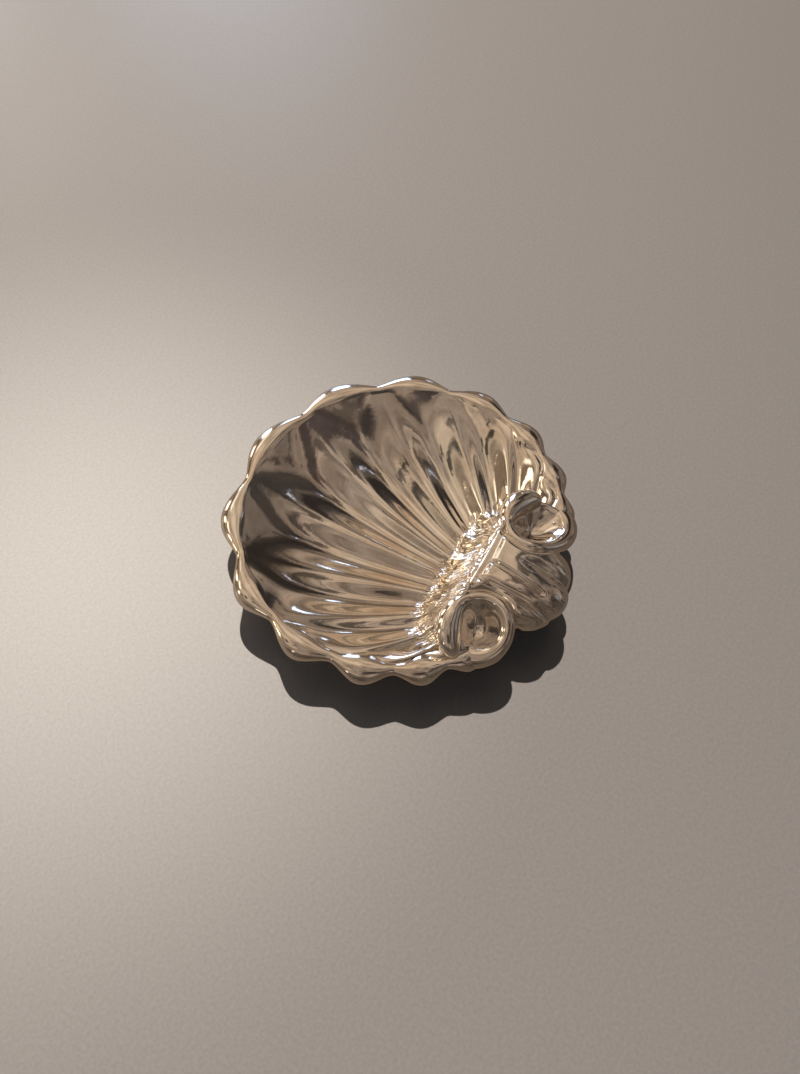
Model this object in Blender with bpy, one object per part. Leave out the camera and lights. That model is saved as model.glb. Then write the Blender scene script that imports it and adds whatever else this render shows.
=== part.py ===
"""Shell trinket dish, cast in one piece of silver-plated brass.

A fluted bowl with a round scalloped lip rises at the back to a gathered crest. The lip runs on at both
ends of the crest into a volute, and behind the crest a small fluted heel rolls down between them.

Metres, +Z up. The origin is the middle of the flat oval that the bowl rests on, which is also the centre
of the fan's round outline. The front lobe points to +Y and the crest runs along X.
"""

import math

import bmesh
import bpy

# The fan, the big round part of the shell
FAN_RADIUS = 0.0574  # from the middle to the notches of the lip
LOBE_REACH = 0.0050  # how far the front lobe stands out past the notches
LOBE_FADE = 0.58  # the share of that which the lobes lose up to the fan's ends
LOBE_BREADTH = 0.80  # the less, the broader the lobes and the sharper the notches
LOBE_TURN = 34.6  # degrees from one lobe to the next at the front
LOBE_TAPER = 1.72  # how many degrees that loses towards the hinge, for the square of the lobe's number
FAN_END = 6.4  # where the fan ends at each side, in lobes from the front one

# The flutes' lines in plan, from the crest to the lip; the shares are of the way from one to the other
HINGE_SPREAD = 1.18  # how wide their ends at the crest are spread, as a share of the crest's width
TUCK_START = 0.55  # share of the fan beyond which they start behind the crest, inside the volutes
TUCK_BACK = 0.85  # how far behind it, as a share of the way to the volute's middle
BEND_ACROSS = 0.16  # where the front flute's line bends, as a share across
BEND_ACROSS_GAIN = 0.10  # how much that share grows for each lobe
BEND_ACROSS_LIMIT = 16.0  # the lobe at which that growth would be used up
BEND_AHEAD = 0.46  # where the line bends, as a share ahead
BEND_AHEAD_LOSS = 0.02  # how much that share loses for the square of the lobe's number
BEND_END = 4.6  # the lobe beyond which the lines straighten

# The lip, a bead that swells at every lobe
LIP_TOP = 0.0198
NOTCH_TOP = 0.0187
LOBE_BEAD = 0.0054  # half of the bead's width at a lobe
LOBE_RISE = 0.0042  # half of its height there
NOTCH_BEAD = 0.0021
NOTCH_RISE = 0.0019
LIP_JOIN = 138.0  # degrees round the bead from its outer side to where the bowl meets it
LIP_UNDER = -112.0  # degrees round the bead to where the underside meets it
LIP_BLEND = 0.0020  # how softly the underside runs into the bead

# The bowl
WALL = 0.0026
FLOOR = 0.0024
BOWL_CURVE = 2.6  # how late the bowl turns up towards the lip
FLUTE_DEPTH = 0.0029
FLUTE_PINCH = 3.2  # how narrow the ridges between flutes are towards the crest
FLUTE_PINCH_LIP = 1.7  # how narrow they are at the lip
FLUTE_RUN = 9.0  # the more, the nearer to the lip the ridges keep their height

# The flat oval that the dish rests on
BASE_WIDTH = 0.036
BASE_LENGTH = 0.040
BASE_BLEND = 0.6  # how wide the rounding round it is, as a share of its half width

# The crest, the straight line that the flutes gather to
CREST_BACK = 0.0345  # behind the middle of the fan
CREST_SHIFT = -0.0025  # the hinge sits a little off the fan's own middle line
CREST_TURN = 4.5  # degrees that the hinge is turned against the fan
CREST_HALF = 0.0170
CREST_TOP = 0.0265
CREST_WALL = 0.0042
BAND_WIDTH = 0.0150  # of the gathered slope in front of the crest
BAND_FOLD = 0.0005  # height of its folds
BAND_DEPTH = 0.45  # share of the flutes' depth left there
BAND_SHARE = 0.30  # share of the flutes' lines that it takes

# The heel behind the crest
HEEL_RADIUS = 0.0217
HEEL_BACK = 0.0073  # from the crest to the centre of the heel's outline
HEEL_HALF_ANGLE = 75.0
HEEL_OVERLAP = 0.0015  # how far it reaches ahead of the crest's line
HEEL_TRIM = 0.0034  # how much less it reaches out at the left volute
HEEL_TOP = 0.0280
HEEL_EDGE = 0.0176
HEEL_RISE = 0.22  # share of the way out at which its top is reached
HEEL_FULLNESS = 2.4  # the more, the farther out it stays high
HEEL_ROLL = 0.96  # how far round it has rolled at its edge
HEEL_BEAD = 0.0022  # radius of its rolled edge
HEEL_ROLL_START = 62.0  # degrees round that edge from its outer side to where the top meets it
HEEL_ROLL_END = -118.0  # and to where the underside meets it
HEEL_LOBE = 35.0  # degrees that the middle lobe spans
HEEL_LOBE_REACH = 0.0013
HEEL_GROOVE = 0.0011  # depth of the grooves between its lobes
HEEL_GROOVE_WIDTH = 0.0022
HEEL_GROOVE_END = 0.76  # share of the way out at which the middle groove ends
HEEL_GROOVE_LEAN = 0.0030  # how far the middle groove leans towards the left volute
ROPE_HEIGHT = 0.0008  # of the thin ridge along the crest
ROPE_WIDTH = 0.0024

# The volutes at the ends of the crest
VOLUTE_ACROSS = 0.0207
VOLUTE_BACK = 0.0082  # behind the crest
VOLUTE_RADIUS = 0.0092  # of the ring's middle line
VOLUTE_END_RADIUS = 0.0110  # where its bulb ends
VOLUTE_START = 6.05  # where the ring leaves the lip, in lobes from the front one
VOLUTE_END = 10.0  # degrees ahead of straight outward to where the ring's bulb ends
VOLUTE_LIFT = 0.0242  # height of the ring's middle line at the crest
VOLUTE_END_LIFT = 0.0205
RING_THICK = 0.0042
RING_THIN = 0.0021
RING_CLIMB = 0.45  # share of its length over which the ring rises from the lip
RING_FALL = 0.68  # and from which it sinks again
BULB_OPEN = 0.76  # share of the length from which the ring winds outward again
RING_TAPER = 0.32  # share of its length over which the ring gets thinner and closes in
RING_ROOT = 1.9  # how much deeper the ring goes below its middle line than it rises above it
BULB = 0.0043  # radius of the bulb at the ring's end
BULB_START = 0.62  # share of the ring's length at which the bulb starts to swell
BULB_ROUND = 0.88  # and at which its round end starts
SCOOP_FLOOR = 0.0172  # height of the middle of the hollow inside the ring
SCOOP_REACH = 0.95  # how far up the ring's inner side it rises, as a share of the ring's thickness
SCOOP_TUCK = 0.5  # how far it reaches in under the bulb, as a share of the bulb
SCOOP_CURVE = 2.4  # the more, the wider its bottom
SCOOP_START = 0.06  # share of its width that is flat in the middle
SCOOP_WALL = 0.96  # share of its width that its underside has
SCOOP_BOTTOM = 0.0120  # height of the underside of the metal below it
VOLUTE_WALL = 0.0014  # how far the bowl's and the heel's skins reach into the metal under a volute
CREASE = 0.0022  # width of the crease between a ring and the heel

# How finely the surfaces are divided
PER_LOBE = 8
BAND_ROWS = 6
FLUTE_ROWS = 9
BEAD_ROWS = 6
UNDER_ROWS = 8
HEEL_STATIONS = 40
HEEL_ROWS = 9
RING_STEPS = 40
RING_SIDES = 12
SCOOP_SPOKES = 28
SCOOP_ROWS = 6


def mix(a, b, share):
    return a + (b - a) * share


def smooth_step(value):
    value = min(max(value, 0.0), 1.0)
    return value * value * (3.0 - 2.0 * value)


def soft_min(a, b, blend):
    """The lesser of a and b, rounded over where they are nearly the same."""
    share = min(max(0.5 + 0.5 * (b - a) / blend, 0.0), 1.0)
    return mix(b, a, share) - blend * share * (1.0 - share)


def bump(distance, width):
    """1 at no distance, falling off to 0 about two widths away."""
    return math.exp(-((distance / width) ** 2))


def lobe_angle(lobe):
    """Angle from the front, in radians, of a place counted in lobes from the front one."""
    count = abs(lobe)
    return math.copysign(math.radians(LOBE_TURN * count - LOBE_TAPER * count * count), lobe)


def lobe_swell(lobe):
    """1 in the middle of a lobe and 0 at a notch."""
    return math.cos(math.pi * lobe) ** 2


def outline_swell(lobe):
    """How far the outline stands out at a place, as a share of the front lobe's reach."""
    return lobe_swell(lobe) ** LOBE_BREADTH * (1.0 - LOBE_FADE * (lobe / FAN_END) ** 2)


def ridge(lobe, share):
    """1 on the ridge between two flutes and 0 along the bottom of a flute."""
    return abs(math.sin(math.pi * lobe)) ** mix(FLUTE_PINCH, FLUTE_PINCH_LIP, share)


def bead_at(lobe):
    """Distance from the middle, height, half width and half height of the lip's bead."""
    swell, broad = lobe_swell(lobe), outline_swell(lobe)
    width, rise = mix(NOTCH_BEAD, LOBE_BEAD, swell), mix(NOTCH_RISE, LOBE_RISE, swell)
    outer = FAN_RADIUS + LOBE_REACH * broad
    return outer - width, mix(NOTCH_TOP, LIP_TOP, broad) - rise, width, rise


def around_bead(lobe, degrees):
    """A point of the lip, as (distance from the middle, height)."""
    reach, height, width, rise = bead_at(lobe)
    turn = math.radians(degrees)
    return reach + width * math.cos(turn), height + rise * math.sin(turn)


def at_hinge(across, ahead):
    """Plan point of the part, from one measured from the middle of the crest."""
    turn = math.radians(CREST_TURN)
    x = CREST_SHIFT + across * math.cos(turn) - ahead * math.sin(turn)
    return x, -CREST_BACK + across * math.sin(turn) + ahead * math.cos(turn)


def from_hinge(x, y):
    """A plan point of the part, measured from the middle of the crest."""
    turn = math.radians(CREST_TURN)
    x, y = x - CREST_SHIFT, y + CREST_BACK
    return x * math.cos(turn) + y * math.sin(turn), y * math.cos(turn) - x * math.sin(turn)


def ray_start(lobe):
    """Where a flute's line starts: on the crest, or inside the volute for the last lobes."""
    share = lobe / FAN_END
    tuck = smooth_step((abs(share) - TUCK_START) / (1.0 - TUCK_START))
    across = HINGE_SPREAD * CREST_HALF * math.sin(0.5 * math.pi * share)
    return at_hinge(across, -TUCK_BACK * VOLUTE_BACK * tuck)


def ray_point(lobe, share, end_distance):
    """Plan point at a share of the way along a flute's line, which leaves the crest forwards and fans out."""
    start_x, start_y = ray_start(lobe)
    angle = lobe_angle(lobe)
    end_x, end_y = end_distance * math.sin(angle), end_distance * math.cos(angle)
    straight = smooth_step((abs(lobe) - BEND_END) / (FAN_END - BEND_END))
    bend_across = BEND_ACROSS + BEND_ACROSS_GAIN * abs(lobe) * (1.0 - abs(lobe) / BEND_ACROSS_LIMIT)
    bend_ahead = BEND_AHEAD - BEND_AHEAD_LOSS * lobe * lobe
    bend_x = mix(start_x, end_x, mix(bend_across, 0.5, straight))
    bend_y = mix(start_y, end_y, mix(bend_ahead, 0.5, straight))
    x = mix(mix(start_x, bend_x, share), mix(bend_x, end_x, share), share)
    y = mix(mix(start_y, bend_y, share), mix(bend_y, end_y, share), share)
    return x, y


def from_crest(x, y):
    """Plan distance to the crest's line, as a share of the gathered slope's width."""
    across, ahead = from_hinge(x, y)
    beyond = max(abs(across) - CREST_HALF, 0.0)
    return math.hypot(beyond, ahead) / BAND_WIDTH


def flute_height(lobe, share):
    """Height of the ridges between flutes, which fade into the lip and towards the crest."""
    depth = FLUTE_DEPTH * mix(BAND_DEPTH, 1.0, smooth_step(share / 0.5))
    return depth * ridge(lobe, share) * (1.0 - share**FLUTE_RUN)


def in_scoop(across, ahead):
    """1 well inside a volute and 0 under its ring and beyond."""
    distance = math.hypot(abs(across) - VOLUTE_ACROSS, ahead + VOLUTE_BACK)
    return smooth_step((VOLUTE_RADIUS - VOLUTE_WALL - distance) / (2.0 * VOLUTE_WALL))


def bowl_height(x, y, flute, reach, lip):
    """Height of the inside of the bowl, with the slope up to the crest and a seat for the scoops."""
    rise = (math.hypot(x, y) / reach) ** BOWL_CURVE
    bowl = mix(FLOOR, lip, rise)
    slope = 1.0 - smooth_step(from_crest(x, y))
    height = mix(bowl + flute, CREST_TOP, slope)
    return mix(height, SCOOP_BOTTOM + VOLUTE_WALL, in_scoop(*from_hinge(x, y)))


def fold_height(x, y, lobe):
    """Height of the gathered slope's folds above it."""
    slope = 1.0 - smooth_step(from_crest(x, y))
    inner = 1.0 - smooth_step(abs(lobe) - 0.6 * FAN_END)
    return BAND_FOLD * math.sin(3.0 * math.pi * lobe) ** 2 * 4.0 * slope * (1.0 - slope) * inner


def under_height(x, y, top, lip_bottom):
    """Height of the outside of the bowl below a point of its inside."""
    oval = math.hypot(2.0 * x / BASE_WIDTH, 2.0 * y / BASE_LENGTH)
    lifted = smooth_step((oval - 1.0) / BASE_BLEND)
    slope = 1.0 - smooth_step(from_crest(x, y))
    wall = mix(WALL, CREST_WALL, slope)
    return max(soft_min(top - wall, lip_bottom, LIP_BLEND), 0.0) * lifted


def row_shares():
    """Shares of the way along a flute's line, close together on the gathered slope."""
    band = [BAND_SHARE * (row / BAND_ROWS) for row in range(BAND_ROWS)]
    flute = [mix(BAND_SHARE, 1.0, row / FLUTE_ROWS) for row in range(FLUTE_ROWS + 1)]
    return band + flute


def fan_section(lobe):
    """One closed section of the fan: the inside from the crest to the lip, round the bead and back below."""
    join_reach, join_height = around_bead(lobe, LIP_JOIN)
    under_reach, under_lip = around_bead(lobe, LIP_UNDER)
    angle = lobe_angle(lobe)
    section = []
    for share in row_shares():
        x, y = ray_point(lobe, share, join_reach)
        height = bowl_height(x, y, flute_height(lobe, share), join_reach, join_height)
        section.append((x, y, height + fold_height(x, y, lobe)))
    for row in range(1, BEAD_ROWS + 1):
        reach, height = around_bead(lobe, mix(LIP_JOIN, LIP_UNDER, row / BEAD_ROWS))
        section.append((reach * math.sin(angle), reach * math.cos(angle), height))
    for row in range(1, UNDER_ROWS + 1):
        share = 1.0 - row / UNDER_ROWS
        x, y = ray_point(lobe, share, under_reach)
        flute = flute_height(lobe, share) * smooth_step((share - BAND_SHARE) / 0.35)
        top = bowl_height(x, y, flute, join_reach, join_height)
        section.append((x, y, under_height(x, y, top, under_lip)))
    return section


def heel_swell(angle):
    """1 in the middle of a lobe of the heel and 0 between lobes; the angle is in degrees off its middle."""
    return abs(math.cos(math.pi * angle / HEEL_LOBE)) ** 0.7


def heel_height(angle, share, across):
    """Height of the heel's top, from the crest at share 0 to the outer edge at share 1."""
    length = HEEL_BACK + HEEL_RADIUS
    rise = smooth_step(share / HEEL_RISE)
    roll = math.sqrt(max(1.0 - (share * HEEL_ROLL) ** HEEL_FULLNESS, 0.0))
    top = mix(CREST_TOP - ROPE_HEIGHT, HEEL_TOP, rise)
    height = mix(HEEL_EDGE, top, roll)
    rope = ROPE_HEIGHT * bump(share * length - 0.6 * ROPE_WIDTH, 0.5 * ROPE_WIDTH)
    from_right = math.radians(angle - 0.5 * HEEL_LOBE) * HEEL_RADIUS
    right_groove = bump(from_right, HEEL_GROOVE_WIDTH) * smooth_step((share - 0.35) / 0.4)
    from_left = math.radians(angle + mix(0.95, 0.6, share) * HEEL_LOBE) * HEEL_RADIUS
    left_groove = bump(from_left, 0.8 * HEEL_GROOVE_WIDTH) * smooth_step((share - 0.06) / 0.2)
    middle_groove = bump(across + HEEL_GROOVE_LEAN * share, 0.34 * HEEL_GROOVE_WIDTH)
    middle_groove *= smooth_step((share - 0.10) / 0.1) * (1.0 - smooth_step((share - HEEL_GROOVE_END) / 0.06))
    return height + rope - HEEL_GROOVE * (right_groove + 1.2 * left_groove + 0.9 * middle_groove)


def beside_volute(across, ahead):
    """0 on the heel and 1 inside a volute, with a crease between."""
    outer = VOLUTE_RADIUS + RING_THIN
    distance = math.hypot(abs(across) - VOLUTE_ACROSS, ahead + VOLUTE_BACK)
    return smooth_step((outer + CREASE - distance) / (CREASE + 2.0 * RING_THIN))


def heel_section(turn):
    """One closed section of the heel, at a turn from -1 to 1 across it."""
    angle = turn * HEEL_HALF_ANGLE
    radians = math.radians(angle)
    outer = HEEL_RADIUS + HEEL_LOBE_REACH * heel_swell(angle) - HEEL_TRIM * smooth_step(-turn)
    reach = outer - HEEL_BEAD
    start_x = turn * CREST_HALF
    start_y = HEEL_OVERLAP
    end_x = reach * math.sin(radians)
    end_y = -HEEL_BACK - reach * math.cos(radians)
    out_x, out_y = math.sin(radians), -math.cos(radians)
    section = []
    rows = [(row / HEEL_ROWS) ** 1.3 for row in range(HEEL_ROWS + 1)]
    for share in rows:
        x, y = mix(start_x, end_x, share), mix(start_y, end_y, share)
        height = heel_height(angle, share, x)
        creased = mix(height, min(height, 0.5 * (SCOOP_FLOOR + VOLUTE_LIFT)), beside_volute(x, y))
        section.append((x, y, mix(creased, SCOOP_BOTTOM + 2.0 * VOLUTE_WALL, in_scoop(x, y))))
    edge = section[-1][2]
    for row in range(1, BEAD_ROWS):
        bead_turn = math.radians(mix(HEEL_ROLL_START, HEEL_ROLL_END, row / (BEAD_ROWS - 1)))
        out = HEEL_BEAD * (math.cos(bead_turn) - math.cos(math.radians(HEEL_ROLL_START)))
        drop = HEEL_BEAD * (math.sin(bead_turn) - math.sin(math.radians(HEEL_ROLL_START)))
        section.append((end_x + out * out_x, end_y + out * out_y, edge + 1.3 * drop))
    for share in reversed(rows[1:-1:2]):
        x, y = mix(start_x, end_x, share * 0.9), mix(start_y, end_y, share * 0.9)
        height = mix(CREST_TOP, heel_height(90.0, share, 1.0), share) - CREST_WALL
        section.append((x, y, mix(height, SCOOP_BOTTOM + 0.5 * VOLUTE_WALL, in_scoop(x, y))))
    section.append((start_x, start_y, CREST_TOP - CREST_WALL))
    return [(*at_hinge(x, y), z) for x, y, z in section]


def ring_form(side, progress):
    """The ring's angle round the volute's middle, distance from it, height and thickness."""
    reach, lip_height, _, _ = bead_at(VOLUTE_START)
    lip = side * lobe_angle(VOLUTE_START)
    across, ahead = from_hinge(reach * math.sin(lip), reach * math.cos(lip))
    out, ahead = side * across - VOLUTE_ACROSS, ahead + VOLUTE_BACK
    start = math.atan2(ahead, out)
    angle = mix(start, math.radians(VOLUTE_END) - 2.0 * math.pi, progress)
    radius = mix(math.hypot(out, ahead), VOLUTE_RADIUS, smooth_step(progress / RING_TAPER))
    radius = mix(radius, VOLUTE_END_RADIUS, smooth_step((progress - BULB_OPEN) / (1.0 - BULB_OPEN)))
    height = mix(lip_height, VOLUTE_LIFT, smooth_step(progress / RING_CLIMB))
    height = mix(height, VOLUTE_END_LIFT, smooth_step((progress - RING_FALL) / (1.0 - RING_FALL)))
    thick = mix(RING_THICK, RING_THIN, smooth_step(progress / RING_TAPER))
    thick = mix(thick, BULB, smooth_step((progress - BULB_START) / (BULB_ROUND - BULB_START)))
    end = max((progress - BULB_ROUND) / (1.0 - BULB_ROUND), 0.0)
    return angle, radius, height, thick * math.sqrt(max(1.0 - end * end, 0.0))


def at_volute(side, angle, radius):
    return at_hinge(side * (VOLUTE_ACROSS + radius * math.cos(angle)), radius * math.sin(angle) - VOLUTE_BACK)


def ring_path(side, progress):
    """Middle of a volute's ring and its radius there, from the lip at 0 round to the end of the bulb at 1."""
    angle, radius, height, thick = ring_form(side, progress)
    return (*at_volute(side, angle, radius), height, thick)


def ring_sections(side):
    """Closed round sections of the volute's ring, without its two ends' points."""
    sections = []
    for step in range(1, RING_STEPS):
        progress = 0.5 - 0.5 * math.cos(math.pi * step / RING_STEPS)
        x, y, z, thick = ring_path(side, progress)
        after, before = ring_path(side, progress + 0.001), ring_path(side, progress - 0.001)
        along_x, along_y = after[0] - before[0], after[1] - before[1]
        length = math.hypot(along_x, along_y)
        out_x, out_y = along_y / length, -along_x / length
        loop = []
        for corner in range(RING_SIDES):
            turn = 2.0 * math.pi * corner / RING_SIDES
            out, up = thick * math.cos(turn), thick * math.sin(turn)
            if up < 0.0:
                up *= mix(1.0, RING_ROOT, smooth_step(progress / RING_TAPER))
            loop.append((x + out * out_x, y + out * out_y, z + up))
        sections.append(loop)
    return sections


def scoop_rim(side, turn):
    """Distance from the volute's middle and height at which the hollow inside the ring meets it."""
    start, end = ring_form(side, 0.0)[0], ring_form(side, 1.0)[0]
    progress = ((start - turn) % (2.0 * math.pi)) / (start - end)
    if progress > 1.0:
        gap = (progress - 1.0) * (start - end) / (2.0 * math.pi - start + end)
        first, last = scoop_rim_at(side, 1.0), scoop_rim_at(side, 0.0)
        return mix(first[0], last[0], gap), mix(first[1], last[1], gap)
    return scoop_rim_at(side, progress)


def scoop_rim_at(side, progress):
    _, radius, height, thick = ring_form(side, progress)
    bulb = smooth_step((progress - BULB_START) / (BULB_ROUND - BULB_START))
    return radius - SCOOP_TUCK * bulb * thick, height + mix(SCOOP_REACH, 0.0, bulb) * thick


def scoop_sections(side):
    """Closed rings of the metal inside a volute's ring: its hollow top, then its wall and underside."""
    rings = []
    for row in range(SCOOP_ROWS + 2):
        on_top = row <= SCOOP_ROWS
        share = mix(SCOOP_START, 1.0, row / SCOOP_ROWS) if on_top else SCOOP_WALL
        climb = math.sin(0.5 * math.pi * share) ** SCOOP_CURVE
        ring = []
        for spoke in range(SCOOP_SPOKES):
            turn = 2.0 * math.pi * spoke / SCOOP_SPOKES
            reach, rim = scoop_rim(side, turn)
            height = mix(SCOOP_FLOOR, rim, climb) if on_top else SCOOP_BOTTOM
            ring.append((*at_volute(side, turn, share * reach), height))
        rings.append(ring)
    return rings


def add_ring_of_faces(bm, first, second):
    count = len(first)
    for i in range(count):
        j = (i + 1) % count
        bm.faces.new((first[i], first[j], second[j], second[i]))


def loft(name, sections):
    """A closed solid through closed sections, with a flat end on the first and the last."""
    bm = bmesh.new()
    loops = [[bm.verts.new(point) for point in section] for section in sections]
    for first, second in zip(loops, loops[1:]):
        add_ring_of_faces(bm, first, second)
    bm.faces.new(reversed(loops[0]))
    bm.faces.new(loops[-1])
    bmesh.ops.recalc_face_normals(bm, faces=bm.faces)
    bmesh.ops.triangulate(bm, faces=bm.faces, quad_method="SHORT_EDGE")
    mesh = bpy.data.meshes.new(name)
    bm.to_mesh(mesh)
    bm.free()
    shape = bpy.data.objects.new(name, mesh)
    bpy.context.scene.collection.objects.link(shape)
    return shape


def make_fan():
    count = round(FAN_END * PER_LOBE)
    lobes = [station / PER_LOBE for station in range(-count, count + 1)]
    return loft("shell_dish", [fan_section(lobe) for lobe in lobes])


def make_heel():
    turns = [station / (HEEL_STATIONS / 2) - 1.0 for station in range(HEEL_STATIONS + 1)]
    return loft("heel", [heel_section(turn) for turn in turns])


def make_ring(side):
    return loft("volute_ring", ring_sections(side))


def make_scoop(side):
    return loft("volute_scoop", scoop_sections(side))


def fuse(body, others):
    """Joins the other shapes to the body, as they are one casting."""
    helpers = bpy.data.collections.new("joined shapes")
    bpy.context.scene.collection.children.link(helpers)
    for other in others:
        bpy.context.scene.collection.objects.unlink(other)
        helpers.objects.link(other)
        other.hide_render = True
        other.display_type = "WIRE"
    join = body.modifiers.new("join", "BOOLEAN")
    join.operation = "UNION"
    join.solver = "EXACT"
    join.operand_type = "COLLECTION"
    join.collection = helpers


def make_silver():
    """Warm silver plate with a little tarnish."""
    silver = bpy.data.materials.new("warm_silver")
    silver.use_nodes = True
    surface = silver.node_tree.nodes["Principled BSDF"]
    surface.inputs["Base Color"].default_value = (0.80, 0.71, 0.61, 1.0)
    surface.inputs["Metallic"].default_value = 1.0
    surface.inputs["Roughness"].default_value = 0.14
    return silver


def make_dish():
    dish = make_fan()
    others = [make_heel()]
    for side in (-1, 1):
        others += [make_scoop(side), make_ring(side)]
    fuse(dish, others)
    dish.data.materials.append(make_silver())
    dish.data.shade_smooth()
    return dish


for old in list(bpy.data.objects):
    bpy.data.objects.remove(old, do_unlink=True)

make_dish()
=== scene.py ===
"""Shell trinket dish: the fine surface of the casting, its silver, the table, the light and the camera."""

import math

import bmesh
import bpy
from mathutils import Matrix, Vector, noise


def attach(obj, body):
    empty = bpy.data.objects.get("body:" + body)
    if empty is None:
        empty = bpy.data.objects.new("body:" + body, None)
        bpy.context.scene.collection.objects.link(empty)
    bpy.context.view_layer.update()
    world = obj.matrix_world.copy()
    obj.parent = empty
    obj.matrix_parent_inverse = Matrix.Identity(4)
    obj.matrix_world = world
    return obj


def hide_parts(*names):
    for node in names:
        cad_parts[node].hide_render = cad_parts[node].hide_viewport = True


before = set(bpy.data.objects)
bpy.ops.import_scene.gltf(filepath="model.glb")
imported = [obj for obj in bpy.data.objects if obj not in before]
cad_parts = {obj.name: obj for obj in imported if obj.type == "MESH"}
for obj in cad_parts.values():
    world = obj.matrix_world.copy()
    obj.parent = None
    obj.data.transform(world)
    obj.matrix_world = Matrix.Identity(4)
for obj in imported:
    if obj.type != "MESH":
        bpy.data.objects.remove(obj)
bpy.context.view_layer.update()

# The sizes below are those of the CAD part, in metres and degrees
FAN_RADIUS = 0.0574
LOBE_REACH = 0.0050
LOBE_TURN = 34.6
LOBE_TAPER = 1.72
FAN_END = 6.4
HINGE_SPREAD = 1.18
TUCK_START = 0.55
TUCK_BACK = 0.85
BEND_ACROSS = 0.16
BEND_ACROSS_GAIN = 0.10
BEND_ACROSS_LIMIT = 16.0
BEND_AHEAD = 0.46
BEND_AHEAD_LOSS = 0.02
BEND_END = 4.6
LIP_TOP = 0.0198
NOTCH_TOP = 0.0187
LOBE_BEAD = 0.0054
LOBE_RISE = 0.0042
NOTCH_BEAD = 0.0021
NOTCH_RISE = 0.0019
LIP_JOIN = 138.0
LOBE_BREADTH = 0.80
LOBE_FADE = 0.58
LIP_UNDER = -112.0
LIP_BLEND = 0.0020
WALL = 0.0026
FLOOR = 0.0024
BOWL_CURVE = 2.6
FLUTE_DEPTH = 0.0029
FLUTE_PINCH = 3.2
FLUTE_PINCH_LIP = 1.7
FLUTE_RUN = 9.0
BASE_WIDTH = 0.036
BASE_LENGTH = 0.040
BASE_BLEND = 0.6
CREST_BACK = 0.0345
CREST_SHIFT = -0.0025
CREST_TURN = 4.5
CREST_HALF = 0.0170
CREST_TOP = 0.0265
CREST_WALL = 0.0042
BAND_WIDTH = 0.0150
BAND_DEPTH = 0.45
BAND_SHARE = 0.30
HEEL_RADIUS = 0.0217
HEEL_BACK = 0.0073
HEEL_HALF_ANGLE = 75.0
HEEL_OVERLAP = 0.0015
HEEL_TRIM = 0.0034
HEEL_TOP = 0.0280
HEEL_EDGE = 0.0176
HEEL_RISE = 0.22
HEEL_FULLNESS = 2.4
HEEL_ROLL = 0.96
HEEL_BEAD = 0.0022
HEEL_ROLL_START = 62.0
HEEL_ROLL_END = -118.0
HEEL_LOBE = 35.0
HEEL_LOBE_REACH = 0.0013
HEEL_GROOVE = 0.0011
HEEL_GROOVE_WIDTH = 0.0022
HEEL_GROOVE_END = 0.76
HEEL_GROOVE_LEAN = 0.0030
ROPE_HEIGHT = 0.0008
ROPE_WIDTH = 0.0024
VOLUTE_ACROSS = 0.0207
VOLUTE_BACK = 0.0082
VOLUTE_RADIUS = 0.0092
VOLUTE_END_RADIUS = 0.0110
VOLUTE_START = 6.05
VOLUTE_END = 10.0
VOLUTE_LIFT = 0.0242
VOLUTE_END_LIFT = 0.0205
RING_THICK = 0.0042
RING_THIN = 0.0021
RING_TAPER = 0.32
RING_CLIMB = 0.45
RING_FALL = 0.68
BULB_OPEN = 0.76
RING_ROOT = 1.9
BULB = 0.0043
BULB_START = 0.62
BULB_ROUND = 0.88
SCOOP_FLOOR = 0.0172
SCOOP_REACH = 0.95
SCOOP_TUCK = 0.5
SCOOP_CURVE = 2.4
SCOOP_START = 0.06
SCOOP_WALL = 0.96
SCOOP_BOTTOM = 0.0120
VOLUTE_WALL = 0.0014
CREASE = 0.0022

# The gathered band's fine wrinkles: their height, then shares of the band's width and counts of lobes
# between which they rise, fade and turn along the crest, and how strongly they drift and branch
WRINKLE_HEIGHT = 0.0011
WRINKLE_RISE = 0.10
WRINKLE_RUN = 0.75
WRINKLE_FADE = 0.5
WRINKLE_SIDE = 4.2
WRINKLE_SIDE_FADE = 1.2
WRINKLE_TURN = 0.18
WRINKLE_TURN_FADE = 0.30
WRINKLE_ALONG = 0.75
WRINKLE_DRIFT = 0.9
WRINKLE_FINE = 0.6

# How finely the surfaces are divided, and how they crowd towards the crest
PER_LOBE = 26
INSIDE_ROWS = 120
BEAD_ROWS = 20
UNDER_ROWS = 30
HEEL_STATIONS = 150
HEEL_ROWS = 60
INSIDE_CROWDING = 1.25
HEEL_CROWDING = 1.15
RING_STEPS = 110
RING_SIDES = 26
SCOOP_SPOKES = 72
SCOOP_ROWS = 24


def mix(a, b, share):
    return a + (b - a) * share


def smooth_step(value):
    value = min(max(value, 0.0), 1.0)
    return value * value * (3.0 - 2.0 * value)


def soft_min(a, b, blend):
    """The lesser of a and b, rounded over where they are nearly the same."""
    share = min(max(0.5 + 0.5 * (b - a) / blend, 0.0), 1.0)
    return mix(b, a, share) - blend * share * (1.0 - share)


def bump(distance, width):
    """1 at no distance, falling off to 0 about two widths away."""
    return math.exp(-((distance / width) ** 2))


def noise_at(x, y, seed):
    return noise.noise(Vector((x, y, seed)))


def lobe_angle(lobe):
    count = abs(lobe)
    return math.copysign(math.radians(LOBE_TURN * count - LOBE_TAPER * count * count), lobe)


def lobe_swell(lobe):
    return math.cos(math.pi * lobe) ** 2


def ridge(lobe, share):
    return abs(math.sin(math.pi * lobe)) ** mix(FLUTE_PINCH, FLUTE_PINCH_LIP, share)


def outline_swell(lobe):
    return lobe_swell(lobe) ** LOBE_BREADTH * (1.0 - LOBE_FADE * (lobe / FAN_END) ** 2)


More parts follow.
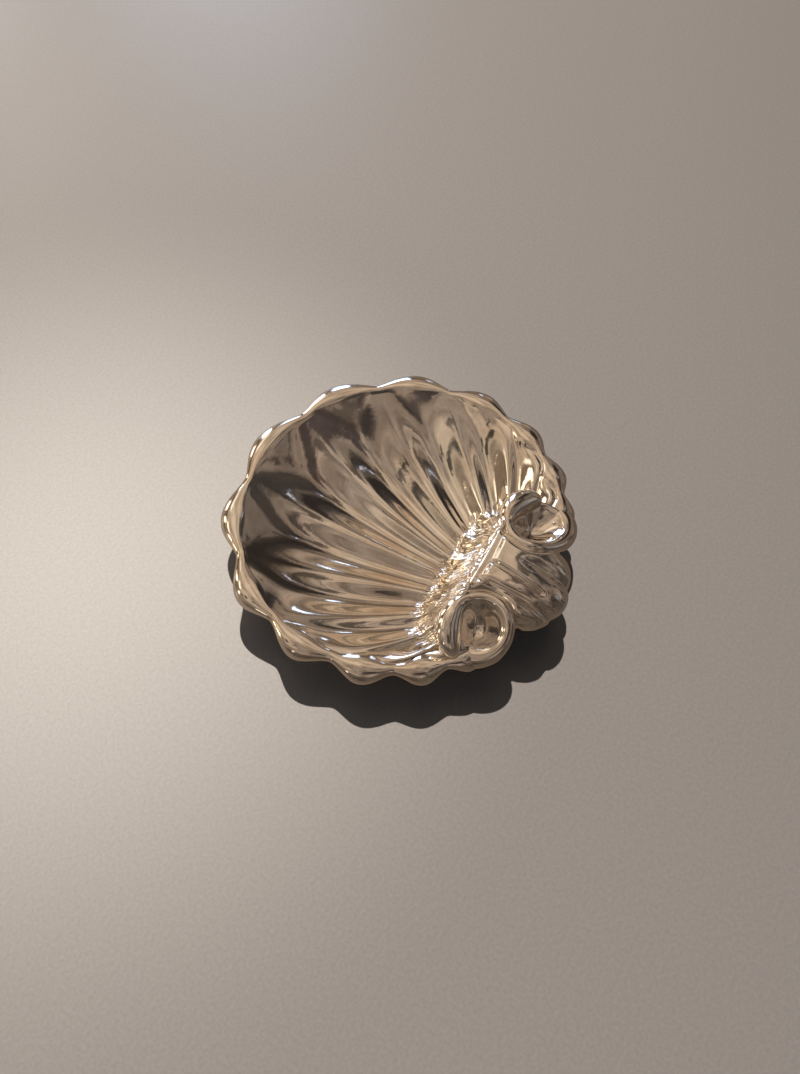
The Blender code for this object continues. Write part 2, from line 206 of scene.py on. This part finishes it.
def bead_at(lobe):
    swell, broad = lobe_swell(lobe), outline_swell(lobe)
    width, rise = mix(NOTCH_BEAD, LOBE_BEAD, swell), mix(NOTCH_RISE, LOBE_RISE, swell)
    outer = FAN_RADIUS + LOBE_REACH * broad
    return outer - width, mix(NOTCH_TOP, LIP_TOP, broad) - rise, width, rise


def around_bead(lobe, degrees):
    reach, height, width, rise = bead_at(lobe)
    turn = math.radians(degrees)
    return reach + width * math.cos(turn), height + rise * math.sin(turn)


def at_hinge(across, ahead):
    turn = math.radians(CREST_TURN)
    x = CREST_SHIFT + across * math.cos(turn) - ahead * math.sin(turn)
    return x, -CREST_BACK + across * math.sin(turn) + ahead * math.cos(turn)


def from_hinge(x, y):
    turn = math.radians(CREST_TURN)
    x, y = x - CREST_SHIFT, y + CREST_BACK
    return x * math.cos(turn) + y * math.sin(turn), y * math.cos(turn) - x * math.sin(turn)


def ray_start(lobe):
    share = lobe / FAN_END
    tuck = smooth_step((abs(share) - TUCK_START) / (1.0 - TUCK_START))
    across = HINGE_SPREAD * CREST_HALF * math.sin(0.5 * math.pi * share)
    return at_hinge(across, -TUCK_BACK * VOLUTE_BACK * tuck)


def ray_point(lobe, share, end_distance):
    start_x, start_y = ray_start(lobe)
    angle = lobe_angle(lobe)
    end_x, end_y = end_distance * math.sin(angle), end_distance * math.cos(angle)
    straight = smooth_step((abs(lobe) - BEND_END) / (FAN_END - BEND_END))
    bend_across = BEND_ACROSS + BEND_ACROSS_GAIN * abs(lobe) * (1.0 - abs(lobe) / BEND_ACROSS_LIMIT)
    bend_ahead = BEND_AHEAD - BEND_AHEAD_LOSS * lobe * lobe
    bend_x = mix(start_x, end_x, mix(bend_across, 0.5, straight))
    bend_y = mix(start_y, end_y, mix(bend_ahead, 0.5, straight))
    x = mix(mix(start_x, bend_x, share), mix(bend_x, end_x, share), share)
    y = mix(mix(start_y, bend_y, share), mix(bend_y, end_y, share), share)
    return x, y


def from_crest(x, y):
    across, ahead = from_hinge(x, y)
    beyond = max(abs(across) - CREST_HALF, 0.0)
    return math.hypot(beyond, ahead) / BAND_WIDTH


def flute_height(lobe, share):
    depth = FLUTE_DEPTH * mix(BAND_DEPTH, 1.0, smooth_step(share / 0.5))
    return depth * ridge(lobe, share) * (1.0 - share**FLUTE_RUN)


def in_scoop(across, ahead):
    distance = math.hypot(abs(across) - VOLUTE_ACROSS, ahead + VOLUTE_BACK)
    return smooth_step((VOLUTE_RADIUS - VOLUTE_WALL - distance) / (2.0 * VOLUTE_WALL))


def bowl_height(x, y, flute, reach, lip):
    rise = (math.hypot(x, y) / reach) ** BOWL_CURVE
    bowl = mix(FLOOR, lip, rise)
    slope = 1.0 - smooth_step(from_crest(x, y))
    height = mix(bowl + flute, CREST_TOP, slope)
    return mix(height, SCOOP_BOTTOM + VOLUTE_WALL, in_scoop(*from_hinge(x, y)))


def wrinkle_height(x, y, lobe):
    """The gathered band's wrinkles, which run down its slope and swing along the crest near its top."""
    share = from_crest(x, y)
    if share > WRINKLE_RUN + WRINKLE_FADE or abs(lobe) > WRINKLE_SIDE + WRINKLE_SIDE_FADE:
        return 0.0
    inner = 1.0 - smooth_step((abs(lobe) - WRINKLE_SIDE) / WRINKLE_SIDE_FADE)
    band = smooth_step(share / WRINKLE_RISE) * (1.0 - smooth_step((share - WRINKLE_RUN) / WRINKLE_FADE))
    drift = WRINKLE_DRIFT * noise_at(lobe * 0.7, share * 1.6, 3.0)
    down = noise_at(lobe * 3.1 + drift, share * 1.1, 7.0)
    down += WRINKLE_FINE * noise_at(lobe * 6.7 - drift, share * 1.9, 11.0)
    along = WRINKLE_FINE * noise_at(from_hinge(x, y)[0] * 130.0, share * 7.0 + 1.5 * drift, 19.0)
    near_top = 1.0 - smooth_step((share - WRINKLE_TURN) / WRINKLE_TURN_FADE)
    folds = 1.0 - 2.0 * abs(mix(down, along, WRINKLE_ALONG * near_top))
    return WRINKLE_HEIGHT * (folds - 0.5) * band * inner


def under_height(x, y, top, lip_bottom):
    oval = math.hypot(2.0 * x / BASE_WIDTH, 2.0 * y / BASE_LENGTH)
    lifted = smooth_step((oval - 1.0) / BASE_BLEND)
    slope = 1.0 - smooth_step(from_crest(x, y))
    wall = mix(WALL, CREST_WALL, slope)
    return max(soft_min(top - wall, lip_bottom, LIP_BLEND), 0.0) * lifted


def fan_section(lobe):
    join_reach, join_height = around_bead(lobe, LIP_JOIN)
    under_reach, under_lip = around_bead(lobe, LIP_UNDER)
    angle = lobe_angle(lobe)
    section = []
    for row in range(INSIDE_ROWS + 1):
        share = (row / INSIDE_ROWS) ** INSIDE_CROWDING
        x, y = ray_point(lobe, share, join_reach)
        height = bowl_height(x, y, flute_height(lobe, share), join_reach, join_height)
        section.append((x, y, height + wrinkle_height(x, y, lobe)))
    for row in range(1, BEAD_ROWS + 1):
        reach, height = around_bead(lobe, mix(LIP_JOIN, LIP_UNDER, row / BEAD_ROWS))
        section.append((reach * math.sin(angle), reach * math.cos(angle), height))
    for row in range(1, UNDER_ROWS + 1):
        share = 1.0 - row / UNDER_ROWS
        x, y = ray_point(lobe, share, under_reach)
        flute = flute_height(lobe, share) * smooth_step((share - BAND_SHARE) / 0.35)
        top = bowl_height(x, y, flute, join_reach, join_height)
        section.append((x, y, under_height(x, y, top, under_lip)))
    return section


def heel_swell(angle):
    return abs(math.cos(math.pi * angle / HEEL_LOBE)) ** 0.7


def heel_height(angle, share, across):
    length = HEEL_BACK + HEEL_RADIUS
    rise = smooth_step(share / HEEL_RISE)
    roll = math.sqrt(max(1.0 - (share * HEEL_ROLL) ** HEEL_FULLNESS, 0.0))
    top = mix(CREST_TOP - ROPE_HEIGHT, HEEL_TOP, rise)
    height = mix(HEEL_EDGE, top, roll)
    rope = ROPE_HEIGHT * bump(share * length - 0.6 * ROPE_WIDTH, 0.5 * ROPE_WIDTH)
    from_right = math.radians(angle - 0.5 * HEEL_LOBE) * HEEL_RADIUS
    right_groove = bump(from_right, HEEL_GROOVE_WIDTH) * smooth_step((share - 0.35) / 0.4)
    from_left = math.radians(angle + mix(0.95, 0.6, share) * HEEL_LOBE) * HEEL_RADIUS
    left_groove = bump(from_left, 0.8 * HEEL_GROOVE_WIDTH) * smooth_step((share - 0.06) / 0.2)
    middle_groove = bump(across + HEEL_GROOVE_LEAN * share, 0.34 * HEEL_GROOVE_WIDTH)
    middle_groove *= smooth_step((share - 0.10) / 0.1) * (1.0 - smooth_step((share - HEEL_GROOVE_END) / 0.06))
    return height + rope - HEEL_GROOVE * (right_groove + 1.2 * left_groove + 0.9 * middle_groove)


def beside_volute(across, ahead):
    outer = VOLUTE_RADIUS + RING_THIN
    distance = math.hypot(abs(across) - VOLUTE_ACROSS, ahead + VOLUTE_BACK)
    return smooth_step((outer + CREASE - distance) / (CREASE + 2.0 * RING_THIN))


def heel_section(turn):
    angle = turn * HEEL_HALF_ANGLE
    radians = math.radians(angle)
    outer = HEEL_RADIUS + HEEL_LOBE_REACH * heel_swell(angle) - HEEL_TRIM * smooth_step(-turn)
    reach = outer - HEEL_BEAD
    start_x = turn * CREST_HALF
    start_y = HEEL_OVERLAP
    end_x = reach * math.sin(radians)
    end_y = -HEEL_BACK - reach * math.cos(radians)
    out_x, out_y = math.sin(radians), -math.cos(radians)
    section = []
    rows = [(row / HEEL_ROWS) ** HEEL_CROWDING for row in range(HEEL_ROWS + 1)]
    for share in rows:
        x, y = mix(start_x, end_x, share), mix(start_y, end_y, share)
        height = heel_height(angle, share, x)
        creased = mix(height, min(height, 0.5 * (SCOOP_FLOOR + VOLUTE_LIFT)), beside_volute(x, y))
        section.append((x, y, mix(creased, SCOOP_BOTTOM + 2.0 * VOLUTE_WALL, in_scoop(x, y))))
    edge = section[-1][2]
    first, last = math.radians(HEEL_ROLL_START), math.radians(HEEL_ROLL_END)
    for row in range(1, BEAD_ROWS):
        bead_turn = mix(first, last, row / (BEAD_ROWS - 1))
        out = HEEL_BEAD * (math.cos(bead_turn) - math.cos(first))
        drop = HEEL_BEAD * (math.sin(bead_turn) - math.sin(first))
        section.append((end_x + out * out_x, end_y + out * out_y, edge + 1.3 * drop))
    for share in reversed(rows[2:-2:4]):
        x, y = mix(start_x, end_x, share * 0.9), mix(start_y, end_y, share * 0.9)
        height = mix(CREST_TOP, heel_height(90.0, share, 1.0), share) - CREST_WALL
        section.append((x, y, mix(height, SCOOP_BOTTOM + 0.5 * VOLUTE_WALL, in_scoop(x, y))))
    section.append((start_x, start_y, CREST_TOP - CREST_WALL))
    return [(*at_hinge(x, y), z) for x, y, z in section]


def ring_form(side, progress):
    reach, lip_height, _, _ = bead_at(VOLUTE_START)
    lip = side * lobe_angle(VOLUTE_START)
    across, ahead = from_hinge(reach * math.sin(lip), reach * math.cos(lip))
    out, ahead = side * across - VOLUTE_ACROSS, ahead + VOLUTE_BACK
    start = math.atan2(ahead, out)
    angle = mix(start, math.radians(VOLUTE_END) - 2.0 * math.pi, progress)
    radius = mix(math.hypot(out, ahead), VOLUTE_RADIUS, smooth_step(progress / RING_TAPER))
    radius = mix(radius, VOLUTE_END_RADIUS, smooth_step((progress - BULB_OPEN) / (1.0 - BULB_OPEN)))
    height = mix(lip_height, VOLUTE_LIFT, smooth_step(progress / RING_CLIMB))
    height = mix(height, VOLUTE_END_LIFT, smooth_step((progress - RING_FALL) / (1.0 - RING_FALL)))
    thick = mix(RING_THICK, RING_THIN, smooth_step(progress / RING_TAPER))
    thick = mix(thick, BULB, smooth_step((progress - BULB_START) / (BULB_ROUND - BULB_START)))
    end = max((progress - BULB_ROUND) / (1.0 - BULB_ROUND), 0.0)
    return angle, radius, height, thick * math.sqrt(max(1.0 - end * end, 0.0))


def at_volute(side, angle, radius):
    return at_hinge(side * (VOLUTE_ACROSS + radius * math.cos(angle)), radius * math.sin(angle) - VOLUTE_BACK)


def ring_path(side, progress):
    angle, radius, height, thick = ring_form(side, progress)
    return (*at_volute(side, angle, radius), height, thick)


def ring_sections(side):
    sections = []
    for step in range(1, RING_STEPS):
        progress = 0.5 - 0.5 * math.cos(math.pi * step / RING_STEPS)
        x, y, z, thick = ring_path(side, progress)
        after, before = ring_path(side, progress + 0.001), ring_path(side, progress - 0.001)
        along_x, along_y = after[0] - before[0], after[1] - before[1]
        length = math.hypot(along_x, along_y)
        out_x, out_y = along_y / length, -along_x / length
        loop = []
        for corner in range(RING_SIDES):
            turn = 2.0 * math.pi * corner / RING_SIDES
            out, up = thick * math.cos(turn), thick * math.sin(turn)
            if up < 0.0:
                up *= mix(1.0, RING_ROOT, smooth_step(progress / RING_TAPER))
            loop.append((x + out * out_x, y + out * out_y, z + up))
        sections.append(loop)
    return sections


def scoop_rim(side, turn):
    """Distance from the volute's middle and height at which the hollow inside the ring meets it."""
    start, end = ring_form(side, 0.0)[0], ring_form(side, 1.0)[0]
    progress = ((start - turn) % (2.0 * math.pi)) / (start - end)
    if progress > 1.0:
        gap = (progress - 1.0) * (start - end) / (2.0 * math.pi - start + end)
        first, last = scoop_rim_at(side, 1.0), scoop_rim_at(side, 0.0)
        return mix(first[0], last[0], gap), mix(first[1], last[1], gap)
    return scoop_rim_at(side, progress)


def scoop_rim_at(side, progress):
    _, radius, height, thick = ring_form(side, progress)
    bulb = smooth_step((progress - BULB_START) / (BULB_ROUND - BULB_START))
    return radius - SCOOP_TUCK * bulb * thick, height + mix(SCOOP_REACH, 0.0, bulb) * thick


def scoop_sections(side):
    """Closed rings of the metal inside a volute's ring: its hollow top, then its wall and underside."""
    rings = []
    for row in range(SCOOP_ROWS + 2):
        on_top = row <= SCOOP_ROWS
        share = mix(SCOOP_START, 1.0, row / SCOOP_ROWS) if on_top else SCOOP_WALL
        climb = math.sin(0.5 * math.pi * share) ** SCOOP_CURVE
        ring = []
        for spoke in range(SCOOP_SPOKES):
            turn = 2.0 * math.pi * spoke / SCOOP_SPOKES
            reach, rim = scoop_rim(side, turn)
            height = mix(SCOOP_FLOOR, rim, climb) if on_top else SCOOP_BOTTOM
            ring.append((*at_volute(side, turn, share * reach), height))
        rings.append(ring)
    return rings


def add_loft(bm, sections):
    """Adds a closed skin through closed sections, with a flat end on the first and the last."""
    loops = [[bm.verts.new(point) for point in section] for section in sections]
    made = []
    for first, second in zip(loops, loops[1:]):
        count = len(first)
        for i in range(count):
            j = (i + 1) % count
            made.append(bm.faces.new((first[i], first[j], second[j], second[i])))
    made.append(bm.faces.new(list(reversed(loops[0]))))
    made.append(bm.faces.new(loops[-1]))
    bmesh.ops.recalc_face_normals(bm, faces=made)


def make_dish():
    bm = bmesh.new()
    count = round(FAN_END * PER_LOBE)
    add_loft(bm, [fan_section(station / PER_LOBE) for station in range(-count, count + 1)])
    add_loft(bm, [heel_section(station / (HEEL_STATIONS / 2) - 1.0) for station in range(HEEL_STATIONS + 1)])
    for side in (-1, 1):
        add_loft(bm, ring_sections(side))
        add_loft(bm, scoop_sections(side))
    mesh = bpy.data.meshes.new("dish_skin")
    bm.to_mesh(mesh)
    bm.free()
    mesh.shade_smooth()
    return add_object("dish_skin", mesh)


def add_object(name, data):
    made = bpy.data.objects.new(name, data)
    bpy.context.scene.collection.objects.link(made)
    return made


def connect(tree, value, socket):
    """Sets a socket to a number or colour, or links another node's output to it."""
    if isinstance(value, (float, tuple)):
        socket.default_value = value
    else:
        tree.links.new(value, socket)


def math_node(tree, operation, *values):
    made = tree.nodes.new("ShaderNodeMath")
    made.operation = operation
    for slot, value in enumerate(values):
        connect(tree, value, made.inputs[slot])
    return made.outputs["Value"]


def vector_node(tree, operation, *values):
    made = tree.nodes.new("ShaderNodeVectorMath")
    made.operation = operation
    for slot, value in enumerate(values):
        connect(tree, value, made.inputs[slot])
    return made.outputs["Value" if operation in ("DOT_PRODUCT", "DISTANCE") else "Vector"]


def scaled(tree, vector, scale):
    made = tree.nodes.new("ShaderNodeVectorMath")
    made.operation = "SCALE"
    tree.links.new(vector, made.inputs[0])
    tree.links.new(scale, made.inputs["Scale"])
    return made.outputs["Vector"]


def noise_node(tree, vector, scale, detail, roughness):
    made = tree.nodes.new("ShaderNodeTexNoise")
    tree.links.new(vector, made.inputs["Vector"])
    for name, value in (("Scale", scale), ("Detail", detail), ("Roughness", roughness)):
        made.inputs[name].default_value = value
    return made


def map_range(tree, value, low, high, to_low=0.0, to_high=1.0, smooth=False):
    made = tree.nodes.new("ShaderNodeMapRange")
    made.interpolation_type = "SMOOTHSTEP" if smooth else "LINEAR"
    tree.links.new(value, made.inputs["Value"])
    for name, limit in (("From Min", low), ("From Max", high), ("To Min", to_low), ("To Max", to_high)):
        made.inputs[name].default_value = limit
    return made.outputs["Result"]


def colour_ramp(tree, share, first, second):
    """Runs from one colour to another between two positions, each given as position and colour."""
    made = tree.nodes.new("ShaderNodeValToRGB")
    for element, (position, colour) in zip(made.color_ramp.elements, (first, second)):
        element.position = position
        element.color = (*colour, 1.0)
    tree.links.new(share, made.inputs["Fac"])
    return made.outputs["Color"]


def mix_colours(tree, share, first, second):
    made = tree.nodes.new("ShaderNodeMix")
    made.data_type = "RGBA"
    tree.links.new(share, made.inputs["Factor"])
    for slot, value in ((6, first), (7, second)):
        connect(tree, (*value, 1.0) if isinstance(value, tuple) else value, made.inputs[slot])
    return made.outputs[2]


# The silver's tarnish, from dull to bright as position and colour, its polish and its faint unevenness
DULL_SILVER = (0.36, (0.80, 0.71, 0.62))
BRIGHT_SILVER = (0.62, (0.95, 0.91, 0.85))
POLISH = (0.05, 0.13)
UNEVEN_STRENGTH = 0.16
UNEVEN_HEIGHT = 0.0004


def make_silver():
    silver = bpy.data.materials.new("warm_silver")
    silver.use_nodes = True
    tree = silver.node_tree
    surface = tree.nodes["Principled BSDF"]
    surface.inputs["Metallic"].default_value = 1.0
    place = tree.nodes.new("ShaderNodeTexCoord").outputs["Object"]

    mottle = noise_node(tree, place, 55.0, 6.0, 0.62).outputs["Fac"]
    tree.links.new(colour_ramp(tree, mottle, DULL_SILVER, BRIGHT_SILVER), surface.inputs["Base Color"])

    haze = noise_node(tree, place, 120.0, 5.0, 0.7).outputs["Fac"]
    tree.links.new(map_range(tree, haze, 0.3, 0.75, *POLISH), surface.inputs["Roughness"])

    relief = tree.nodes.new("ShaderNodeBump")
    relief.inputs["Strength"].default_value = UNEVEN_STRENGTH
    relief.inputs["Distance"].default_value = UNEVEN_HEIGHT
    tree.links.new(noise_node(tree, place, 190.0, 3.0, 0.5).outputs["Fac"], relief.inputs["Height"])
    tree.links.new(relief.outputs["Normal"], surface.inputs["Normal"])
    return silver


# The table: half its width, a small drop below the dish, and its colours, with painted light that passes from
# dark to pale along one direction and a painted pool of light about one spot beside the dish
TABLE_HALF = 3.0
TABLE_DROP = 0.0001
TABLE_ROUGHNESS = 0.35
# Painted light: the table's colour passes from painted shade to painted light along this direction, and it
# has a painted pool of light
PAINTED_LIGHT_TOWARDS = (-0.305, 0.952, 0.0)
PAINTED_LIGHT_FROM, PAINTED_LIGHT_TO = -0.25, 0.22
TABLE_IN_PAINTED_SHADE = (0.26, 0.236, 0.226)
TABLE_IN_PAINTED_LIGHT = (0.42, 0.382, 0.36)
PAINTED_POOL_PLACE = (-0.07, 0.10, 0.0)
PAINTED_POOL_RADIUS = 0.19
TABLE_IN_PAINTED_POOL = (0.74, 0.70, 0.665)
GRAIN_DARK, GRAIN_PALE = 0.93, 1.07
# Painted shade: the factor by which the table is darkened where the metal mirrors it
MIRRORED_TABLE_SHADE = (0.42, 0.36, 0.31)


def make_floor():
    """A pale table top with a fine grain, painted light that pales along one direction and a painted pool of
    light beside the dish, which the metal mirrors darker as painted shade.
    """
    corners = [(x * TABLE_HALF, y * TABLE_HALF, 0.0) for x, y in ((-1, -1), (1, -1), (1, 1), (-1, 1))]
    mesh = bpy.data.meshes.new("floor")
    mesh.from_pydata(corners, [], [(0, 1, 2, 3)])
    floor = add_object("floor", mesh)
    floor.location.z = -TABLE_DROP
    paint = bpy.data.materials.new("table_top")
    paint.use_nodes = True
    tree = paint.node_tree
    surface = tree.nodes["Principled BSDF"]
    surface.inputs["Roughness"].default_value = TABLE_ROUGHNESS
    place = tree.nodes.new("ShaderNodeTexCoord").outputs["Object"]
    # Painted light: the table's colour runs from painted shade to painted light along one direction
    painted_light_share = map_range(tree, vector_node(tree, "DOT_PRODUCT", place, PAINTED_LIGHT_TOWARDS), PAINTED_LIGHT_FROM, PAINTED_LIGHT_TO)
    plain = mix_colours(tree, painted_light_share, TABLE_IN_PAINTED_SHADE, TABLE_IN_PAINTED_LIGHT)
    # Painted light: a painted pool of light on the table beside the dish
    painted_pool_share = map_range(tree, vector_node(tree, "DISTANCE", place, PAINTED_POOL_PLACE), PAINTED_POOL_RADIUS, 0.0, smooth=True)
    painted_light_table = mix_colours(tree, painted_pool_share, plain, TABLE_IN_PAINTED_POOL)
    grain = noise_node(tree, place, 900.0, 2.0, 0.6).outputs["Fac"]
    tint = scaled(tree, painted_light_table, map_range(tree, grain, 0.3, 0.7, GRAIN_DARK, GRAIN_PALE))
    # Painted shade: the table as the metal mirrors it is darkened, standing in for the shade under the dish
    in_metal = tree.nodes.new("ShaderNodeLightPath").outputs["Is Glossy Ray"]
    mirrored_painted_shade = vector_node(tree, "MULTIPLY", tint, MIRRORED_TABLE_SHADE)
    tree.links.new(mix_colours(tree, in_metal, tint, mirrored_painted_shade), surface.inputs["Base Color"])
    floor.data.materials.append(paint)


def around(azimuth, elevation, distance):
    """A place round the dish, at an azimuth as the views count it."""
    a, e = math.radians(azimuth), math.radians(elevation)
    return Vector((math.sin(a) * math.cos(e), -math.cos(a) * math.cos(e), math.sin(e))) * distance


# The sunlight that gives the dish its shadow on the table
SUN_AZIMUTH = 125.0
SUN_ELEVATION = 61.2
SUN_STRENGTH = 3.3
SUN_COLOUR = (1.0, 0.94, 0.86)
SUN_ANGLE = 0.8


def make_sun():
    light = bpy.data.lights.new("key", "SUN")
    light.energy = SUN_STRENGTH
    light.color = SUN_COLOUR
    light.angle = math.radians(SUN_ANGLE)
    sun = add_object("key", light)
    sun.location = around(SUN_AZIMUTH, SUN_ELEVATION, 1.0)
    sun.rotation_euler = (-sun.location).to_track_quat("-Z", "Y").to_euler()
    sun.visible_glossy = False


VIEW_AZIMUTH = -54.8
VIEW_ELEVATION = 60.7
VIEW_DISTANCE = 0.3155
VIEW_TARGET = (-0.0026, -0.0011, 0.008)
VIEW_ROLL = -2.1
SENSOR_HEIGHT = 36.0
PHOTO_HEIGHT = 1074.0
PHOTO_FOCAL_LENGTH = 900.0

SOFT_LIGHT = (0.055, 0.062, 0.070)
BACKDROP = (0.40, 0.36, 0.325)

# What stands round the dish: turn from straight away from the viewer (right is positive) and elevation
# in degrees, half width, half height, softness of the edge, and the colour of its light
ROOM = (
    (-8.0, 64.0, 60.0, 20.0, 0.60, (0.58, 0.48, 0.375)),
    (-60.0, 44.0, 50.0, 14.0, 0.50, (0.56, 0.465, 0.355)),
    (-30.0, 36.0, 10.0, 6.0, 0.40, (1.5, 1.35, 1.15)),
    (-70.0, 34.0, 7.0, 5.0, 0.40, (1.7, 1.5, 1.2)),
    (-40.0, 12.0, 60.0, 18.0, 0.40, (0.19, 0.145, 0.105)),
    (-64.0, 15.0, 3.0, 7.0, 0.25, (4.6, 4.0, 2.9)),
    (-86.0, 18.0, 3.0, 6.0, 0.30, (3.4, 2.9, 2.1)),
    (-46.0, 8.0, 4.0, 8.0, 0.30, (3.2, 2.9, 2.5)),
    (-27.0, 14.0, 4.5, 10.0, 0.30, (4.8, 5.4, 6.2)),
    (-8.0, 14.0, 5.5, 11.0, 0.30, (3.8, 5.4, 8.2)),
    (15.0, 14.0, 1.5, 3.0, 0.30, (1.6, 2.1, 3.0)),
    (100.0, 18.0, 62.0, 34.0, 0.30, (0.20, 0.17, 0.15)),
    (62.0, 44.0, 14.0, 8.0, 0.30, (0.05, 0.045, 0.042)),
    (36.0, 30.0, 8.0, 14.0, 0.30, (0.06, 0.052, 0.048)),
    (110.0, 63.0, 30.0, 4.5, 0.35, (0.06, 0.05, 0.05)),
    (112.0, 12.0, 14.0, 26.0, 0.25, (0.035, 0.03, 0.028)),
    (92.0, 20.0, 7.0, 10.0, 0.40, (0.26, 0.27, 0.30)),
    (50.0, 42.0, 1.6, 1.6, 0.30, (1.5, 1.7, 2.2)),
    (-95.0, 45.0, 5.0, 5.0, 0.15, (0.05, 0.045, 0.04)),
    (-104.0, 60.0, 2.5, 9.0, 0.20, (0.05, 0.045, 0.04)),
    (180.0, 14.0, 70.0, 20.0, 0.40, (0.10, 0.085, 0.07)),
    (-128.0, 24.0, 3.0, 4.0, 0.30, (1.6, 1.4, 1.1)),
    (176.0, 61.0, 24.0, 9.0, 0.20, (0.06, 0.052, 0.05)),
)

# The room's walls between those, as position and colour, and how ragged all its edges are
DARK_WALL = (0.38, (0.23, 0.19, 0.16))
PALE_WALL = (0.62, (0.38, 0.32, 0.27))
RAGGED = 0.08

# Small dark things on the right of the room, and its uneven light
CLUTTER = (0.05, 0.043, 0.04)
CLUTTER_SHARE = 0.85
CLOUD_DARK, CLOUD_PALE = 0.48, 1.2
WARM_LIGHT = (1.12, 1.04, 0.97)


def degrees_of(tree, rise, run):
    return math_node(tree, "MULTIPLY", math_node(tree, "ARCTAN2", rise, run), 180.0 / math.pi)


def share_of(tree, offset, half):
    """How far an offset reaches, as a share of a half width or half height."""
    return math_node(tree, "DIVIDE", math_node(tree, "ABSOLUTE", offset), half)


def make_world():
    """A dim, warm room with windows on the far left, which only the metal shows, and a little soft light."""
    world = bpy.data.worlds.new("room")
    world.use_nodes = True
    tree = world.node_tree
    back = tree.nodes["Background"]
    turned = tree.nodes.new("ShaderNodeMapping")
    turned.inputs["Rotation"].default_value = (0.0, 0.0, math.radians(-VIEW_AZIMUTH))
    tree.links.new(tree.nodes.new("ShaderNodeTexCoord").outputs["Generated"], turned.inputs["Vector"])
    direction = turned.outputs["Vector"]
    jitter = noise_node(tree, direction, 6.0, 4.0, 0.6).outputs["Color"]
    centred = vector_node(tree, "SUBTRACT", direction, (RAGGED,) * 3)
    ragged = vector_node(tree, "MULTIPLY_ADD", jitter, (2.0 * RAGGED,) * 3, centred)
    parts = tree.nodes.new("ShaderNodeSeparateXYZ")
    tree.links.new(ragged, parts.inputs["Vector"])
    x, y, z = parts.outputs["X"], parts.outputs["Y"], parts.outputs["Z"]
    across_squared = math_node(tree, "MULTIPLY", x, x)
    away_squared = math_node(tree, "MULTIPLY", y, y)
    level = math_node(tree, "SQRT", math_node(tree, "ADD", across_squared, away_squared))
    turn, elevation = degrees_of(tree, x, y), degrees_of(tree, z, level)

    mottle = noise_node(tree, direction, 3.2, 5.0, 0.62).outputs["Fac"]
    colour = colour_ramp(tree, mottle, DARK_WALL, PALE_WALL)
    for middle, height, half_width, half_height, softness, light in ROOM:
        sideways = math_node(tree, "WRAP", math_node(tree, "SUBTRACT", turn, middle), 180.0, -180.0)
        upward = math_node(tree, "SUBTRACT", elevation, height)
        across, along = share_of(tree, sideways, half_width), share_of(tree, upward, half_height)
        edge = math_node(tree, "MAXIMUM", across, along)
        share = map_range(tree, edge, 1.0 + softness, 1.0 - softness, smooth=True)
        colour = mix_colours(tree, share, colour, light)

    things = noise_node(tree, direction, 4.5, 5.0, 0.55).outputs["Fac"]
    shapes = map_range(tree, things, 0.47, 0.44)
    covered = math_node(tree, "MULTIPLY", shapes, map_range(tree, x, -0.05, 0.35, smooth=True))
    colour = mix_colours(tree, math_node(tree, "MULTIPLY", covered, CLUTTER_SHARE), colour, CLUTTER)

    clouds = noise_node(tree, ragged, 2.6, 6.0, 0.6).outputs["Fac"]
    warmed = vector_node(tree, "MULTIPLY", colour, WARM_LIGHT)
    colour = scaled(tree, warmed, map_range(tree, clouds, 0.36, 0.60, CLOUD_DARK, CLOUD_PALE))

    ray = tree.nodes.new("ShaderNodeLightPath")
    plain = mix_colours(tree, ray.outputs["Is Camera Ray"], SOFT_LIGHT, BACKDROP)
    tree.links.new(mix_colours(tree, ray.outputs["Is Glossy Ray"], plain, colour), back.inputs["Color"])
    bpy.context.scene.world = world


def make_camera():
    camera = bpy.data.cameras.new("camera")
    camera.sensor_fit = "VERTICAL"
    camera.sensor_height = SENSOR_HEIGHT
    camera.lens = SENSOR_HEIGHT * PHOTO_FOCAL_LENGTH / PHOTO_HEIGHT
    camera.clip_start = 0.01
    view = add_object("camera", camera)
    back = around(VIEW_AZIMUTH, VIEW_ELEVATION, 1.0)
    azimuth, roll = math.radians(VIEW_AZIMUTH), math.radians(VIEW_ROLL)
    level = Vector((math.cos(azimuth), math.sin(azimuth), 0.0))
    upright = back.cross(level)
    right = level * math.cos(roll) + upright * math.sin(roll)
    up = upright * math.cos(roll) - level * math.sin(roll)
    turn = Matrix((right, up, back)).transposed()
    view.matrix_world = Matrix.Translation(Vector(VIEW_TARGET) + back * VIEW_DISTANCE) @ turn.to_4x4()
    bpy.context.scene.camera = view


dish = make_dish()
dish.data.materials.append(make_silver())
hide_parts("shell_dish")
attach(dish, "root")
make_floor()
make_world()
make_sun()
make_camera()
bpy.context.scene.view_settings.view_transform = "Standard"
